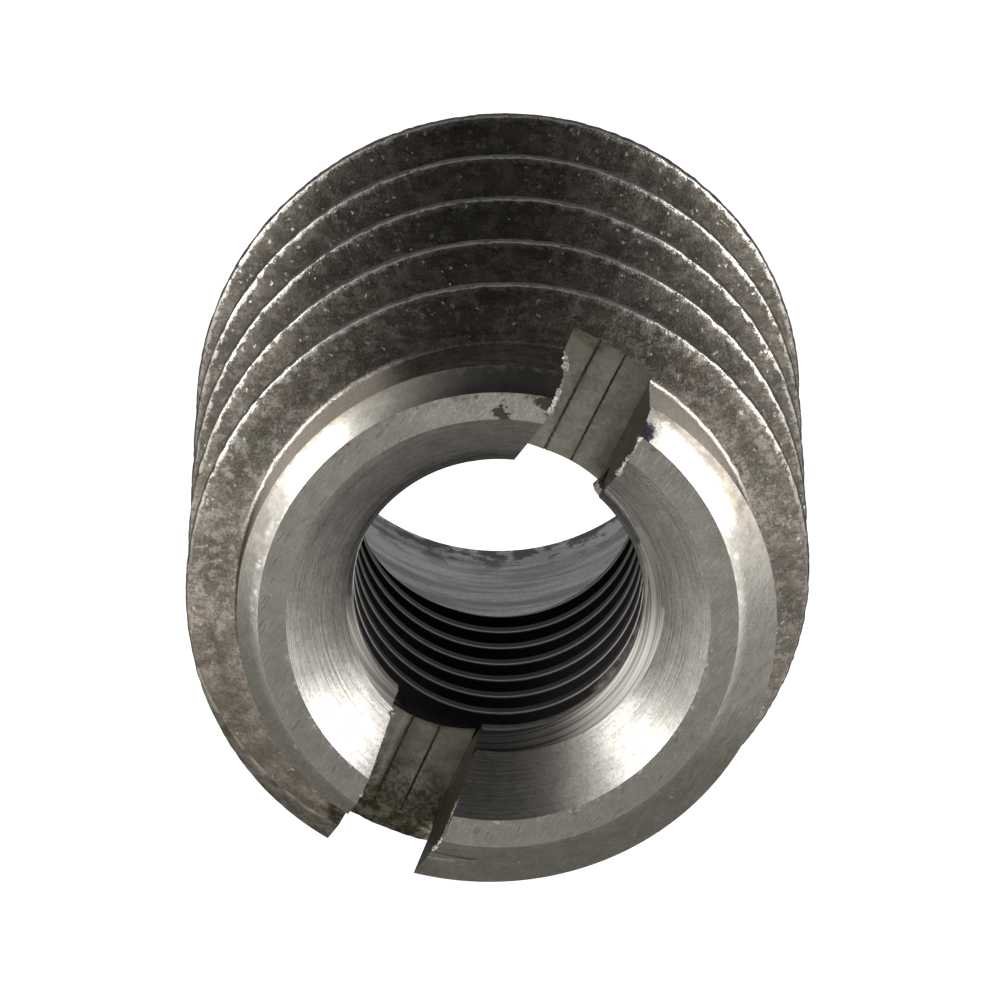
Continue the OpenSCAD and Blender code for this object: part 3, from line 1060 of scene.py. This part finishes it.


# %% [markdown]
# ## Inside the bore
#
# The tapped thread looks nearly black, and only its crests shine. Hardly any light gets in there,
# and its near-black colour is painted shade on top of that. The bright crest lines are painted
# highlights on worn edges, and the finish finds the crests by their place on the helix, as the outer
# thread's finish does. The relief bore has wide bands, and stains at its mouth.

# %% Tapped thread
def tapped_thread():
    tree, place = begin("tapped_thread")
    point, height, radius = (place[key] for key in ("Point", "Height", "Radius"))
    smear = noise(tree, point, 1.8, 4.0, 0.6)
    grain = noise(tree, point, 9.0, 3.0, 0.7)
    # The crest lines are painted highlights on worn edges. The lands beside them are painted near-black and
    # the rest of the thread very dark: painted shade
    from_edge = off(tree, place["From inner crest"], TAP_LAND / 2 - 0.03)
    ragged = centred(tree, grain, 0.06)
    on_land = ramp(tree, radius, BORE_R + 0.045, BORE_R + 0.015)
    crest = product(tree, ramp(tree, maths(tree, "ADD", from_edge, ragged), 0.12, 0.04), on_land)
    dark = blend(tree, smear, rgb(0.018, 0.016, 0.016), rgb(0.050, 0.045, 0.043))
    crest_highlight_colour = blend(tree, smear, rgb(0.30, 0.29, 0.285), rgb(0.62, 0.61, 0.61))
    # The first turn runs out in the countersink, so it is nearly as clean. At the -Y side, away from the
    # middle, it is painted lighter still: painted light
    front_light = product(tree, ramp(tree, place["Y"], 0.5, -2.5), ramp(tree, off(tree, place["X"], 0.0), 1.8, 3.8))
    ragged_height = maths(tree, "ADD", maths(tree, "MULTIPLY_ADD", smear, 1.2, height),
                          product(tree, front_light, 0.8))
    first_turn = ramp(tree, ragged_height, LENGTH - 3.3, LENGTH - 2.0)
    rings = use(tree, TURNING, Rings_per_mm=9.0, Wander=0.5)["Height"]
    light = blend(tree, front_light, rgb(0.24, 0.231, 0.215), rgb(0.72, 0.70, 0.66))
    dull = blend(tree, front_light, rgb(0.09, 0.086, 0.080), rgb(0.36, 0.35, 0.325))
    colour = layered(
        tree, dark,
        (on_land, rgb(0.008, 0.007, 0.007)),
        (crest, crest_highlight_colour),
        (first_turn, blend(tree, ramp(tree, rings, 0.40, 0.60), dull, light)))
    rough = ramp(tree, largest(tree, crest, first_turn), 0.0, 1.0, 0.45, 0.36)
    steel("tapped_thread", colour, rough, maths(tree, "ADD", smear, grain), relief=0.006,
          metallic=ramp(tree, first_turn, 0.0, 1.0, 1.0, 0.80))


tapped_thread()


# %% Relief bore
def relief_bore():
    tree, place = begin("relief_bore")
    bands = noise(tree, vector_maths(tree, "MULTIPLY", place["Around"], (0.75, 0.9, 0.9)), 1.1, 3.0, 0.62)
    spots = noise(tree, place["Point"], 0.9, 5.0, 0.70)
    grain = noise(tree, place["Point"], 7.0, 3.0, 0.7)
    stain = product(tree, ramp(tree, spots, 0.47, 0.56), ramp(tree, place["Height"], 3.6, 0.8), 0.90)
    clean = blend(tree, ramp(tree, bands, 0.36, 0.64), rgb(0.32, 0.314, 0.328), rgb(0.68, 0.675, 0.686))
    colour = layered(
        tree, clean,
        (ramp(tree, grain, 0.50, 0.34, 0.0, 0.35), rgb(0.16, 0.15, 0.16)),
        (stain, rgb(0.075, 0.066, 0.042)))
    steel("relief_bore", colour, 0.44, maths(tree, "MULTIPLY_ADD", grain, 0.5, bands), relief=0.012)


relief_bore()


# %% [markdown]
# ## The slot and its lips
#
# The slot's floor has two tool grooves with dirt in them, whose dark lines are also painted crease
# shade, a light rubbed line beside the left one, and more dirt at both ends. The walls are painted
# darker than the floor as shade, so one function makes both finishes from two tones each. The torn
# lips are bright bare metal, with a duller lump at the bore's corner. A lower Metallic value gives
# them a pale tone that depends less on what they reflect, a painted highlight that shows from any side.

# %% Milled slot
RUBBED_LINE = -0.84


def milled(name, light, dark):
    tree, place = begin(name)
    smear = noise(tree, place["Point"], 1.6, 4.0, 0.62)
    grain = noise(tree, place["Point"], 6.5, 4.0, 0.72)
    mixed = maths(tree, "MULTIPLY_ADD", grain, 0.5, product(tree, smear, 0.5))
    across = maths(tree, "ADD", place["Across slot"], centred(tree, grain, 0.16))
    along = maths(tree, "ADD", place["Along slot"], centred(tree, mixed, 5.0))
    lower = ramp(tree, place["Along slot"], 1.0, -3.0)
    # Dark lines lie along both grooves of the floor, and smears reach out of them: dirt, and painted crease
    # shade
    groove_dirt_and_shade = [product(tree, ramp(tree, off(tree, across, centre), half + 0.05, half * 0.4),
                      ramp(tree, mixed, 0.36, 0.55, 0.35, 0.90)) for centre, half in GROOVES]
    rubbed = product(tree, ramp(tree, off(tree, across, RUBBED_LINE), 0.14, 0.05, 0.0, 0.55), lower)
    brown = product(tree, lower, ramp(tree, smear, 0.62, 0.40, 0.10, 0.50))
    dirt = largest(tree, ramp(tree, along, -7.2, -9.0, 0.0, 0.80), ramp(tree, along, 9.2, 9.9, 0.0, 0.85))
    oil = blend(tree, ramp(tree, grain, 0.45, 0.6), rgb(0.055, 0.046, 0.029), rgb(0.185, 0.167, 0.113))
    colour = layered(
        tree, blend(tree, ramp(tree, mixed, 0.36, 0.64), dark, light),
        (ramp(tree, place["Along slot"], 1.0, -5.0, 0.0, 0.22), rgb(0.52, 0.50, 0.45)),
        *((trace, rgb(0.050, 0.040, 0.031)) for trace in groove_dirt_and_shade),
        (rubbed, rgb(0.60, 0.56, 0.50)),
        (brown, rgb(0.205, 0.182, 0.138)),
        (dirt, oil))
    steel(name, colour, 0.42, grain, relief=0.010)


milled("milled_floor", rgb(0.335, 0.317, 0.275), rgb(0.205, 0.195, 0.165))
# The walls' darker tones are painted shade
milled("milled_wall", rgb(0.25, 0.238, 0.195), rgb(0.13, 0.124, 0.100))


# %% Torn lips
def torn_edge():
    tree, place = begin("torn_edge")
    shade = noise(tree, place["Point"], 5.0, 2.0)
    # The pale bright tone is bare torn metal, and also a painted highlight that shows from any side
    bare_and_glint = blend(tree, ramp(tree, shade, 0.40, 0.55), rgb(0.42, 0.40, 0.36), rgb(0.92, 0.90, 0.86))
    colour = blend(tree, ramp(tree, place["Radius"], 6.6, 6.0), bare_and_glint, rgb(0.52, 0.50, 0.46))
    steel("torn_edge", colour, 0.32, shade, relief=0.02, metallic=0.45)


torn_edge()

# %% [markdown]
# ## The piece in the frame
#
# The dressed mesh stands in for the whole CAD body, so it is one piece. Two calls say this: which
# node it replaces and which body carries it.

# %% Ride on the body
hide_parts(NODE)
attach(insert, "root")

# %% [markdown]
# ## The white floor
#
# The insert stands on pure white without a shadow. White paper under strong lamps would also throw
# its light up into the thread and wash out the dark flanks. So the floor glows fully for the camera
# alone. The piece sees it glow only weakly, and a little more in the patch below the bore, where
# the relief bore looks straight down at it.

# %% Floor
FLOOR_HALF = 4.0
FLOOR_DROP = 0.0002
PATCH_INNER, PATCH_OUTER = 0.008, 0.011
WEAK_GLOW, PATCH_GLOW = 0.17, 0.32
floor_mesh = bpy.data.meshes.new("floor")
floor_mesh.from_pydata([(-FLOOR_HALF, -FLOOR_HALF, 0), (FLOOR_HALF, -FLOOR_HALF, 0),
                        (FLOOR_HALF, FLOOR_HALF, 0), (-FLOOR_HALF, FLOOR_HALF, 0)], [], [(0, 1, 2, 3)])
floor = new_object("floor", floor_mesh)
floor.location.z = -FLOOR_DROP
paper = bpy.data.materials.new("white_paper")
paper.use_nodes = True
tree = paper.node_tree
tree.nodes.clear()
seen = add(tree, "ShaderNodeLightPath").outputs["Is Camera Ray"]
place = add(tree, "ShaderNodeTexCoord").outputs["Object"]
from_axis = vector_maths(tree, "LENGTH", place)
glow = maths(tree, "ADD", seen, ramp(tree, from_axis, PATCH_OUTER, PATCH_INNER, WEAK_GLOW, PATCH_GLOW))
light = add(tree, "ShaderNodeEmission", {"Color": rgb(1, 1, 1), "Strength": glow})
add(tree, "ShaderNodeOutputMaterial", {0: light.outputs[0]})
floor_mesh.materials.append(paper)
print("floor is", 2 * FLOOR_HALF, "m wide")

# %% [markdown]
# ## The studio round the insert
#
# Bare metal shows the room it stands in. Bright walls give the flanks at the sides their
# tone, a dimmer ceiling keeps the ring grey, and a wide dark gap high behind the insert turns the
# upper flanks almost black. Panels could build that room, but they would have to be hidden from
# the camera. Soft lobes in the world's own shader do the same with three colours.

# %% World
world = bpy.data.worlds.new("studio")
bpy.context.scene.world = world
world.use_nodes = True
tree = world.node_tree
tree.nodes.clear()
direction = add(tree, "ShaderNodeTexCoord").outputs["Generated"]


def towards(x, y, z, inner, outer):
    """1 within an angle of inner degrees from a direction, down to 0 at outer degrees."""
    facing = vector_maths(tree, "DOT_PRODUCT", direction, Vector((x, y, z)).normalized())
    return ramp(tree, facing, math.cos(math.radians(outer)), math.cos(math.radians(inner)))


walls, ceiling, gap = rgb(1.50, 1.465, 1.41), rgb(0.58, 0.57, 0.55), rgb(0.016, 0.016, 0.018)
sky = layered(
    tree, walls,
    (towards(0, -0.32, 0.95, 25, 64), ceiling),
    (towards(0.14, 0.80, 0.58, 22, 72), gap))
background = add(tree, "ShaderNodeBackground", {"Color": sky, "Strength": 1.0})
add(tree, "ShaderNodeOutputWorld", {0: background.outputs[0]})
print("the studio's shader has", len(tree.nodes), "nodes")


# %% [markdown]
# ## Two softboxes
#
# Two low soft lights stand at the left and the right of the slotted end. Each makes one bright fan in
# the opposite half of the countersink and one on the near side of the chamfer. Area lights are
# used because the width of the light is the width of the fan on metal.

# %% Softboxes
def softbox(name, azimuth, elevation, distance, width, height, power):
    """A soft light that looks at the insert. Azimuth turns from +Y towards +X."""
    lamp = bpy.data.lights.new(name, "AREA")
    lamp.shape = "RECTANGLE"
    lamp.size, lamp.size_y, lamp.energy = width, height, power
    obj = new_object(name, lamp)
    az, el = math.radians(azimuth), math.radians(elevation)
    toward = Vector((math.sin(az) * math.cos(el), math.cos(az) * math.cos(el), math.sin(el)))
    target = Vector((0, 0, LENGTH * MM))
    obj.location = target + toward * distance
    obj.rotation_euler = toward.to_track_quat("Z", "Y").to_euler()
    print(name, "at", [round(value, 3) for value in obj.location], "with", power, "W")


softbox("right_softbox", azimuth=67, elevation=9, distance=0.30, width=0.165, height=0.10, power=0.205)
softbox("left_softbox", azimuth=-61, elevation=9, distance=0.30, width=0.110, height=0.10, power=0.136)

# %% [markdown]
# ## The camera
#
# The view goes down into the bore and leans back a little, so that the turns of the thread show above
# the ring. A long lens from half a metre away keeps the circles of both ends nearly the same
# size, as a close lens would not.

# %% Camera
VIEW_TILT = math.radians(18.8)
VIEW_DISTANCE = 550.0
VIEW_RIGHT, VIEW_UP = 0.062, 4.27
FOCAL_LENGTH = 560.9
lens_data = bpy.data.cameras.new("camera")
camera = new_object("camera", lens_data)
right = Vector((1, 0, 0))
up = Vector((0, math.cos(VIEW_TILT), -math.sin(VIEW_TILT)))
back = Vector((0, math.sin(VIEW_TILT), math.cos(VIEW_TILT)))
aim = Vector((0, 0, LENGTH)) + right * VIEW_RIGHT + up * VIEW_UP
camera.location = (aim + back * VIEW_DISTANCE) * MM
camera.rotation_euler = (-VIEW_TILT, 0, 0)
lens_data.sensor_width = 36
lens_data.lens = FOCAL_LENGTH
lens_data.clip_end = 100
bpy.context.scene.camera = camera
bpy.context.scene.view_settings.view_transform = "Standard"
print("camera at", [round(value, 3) for value in camera.location])
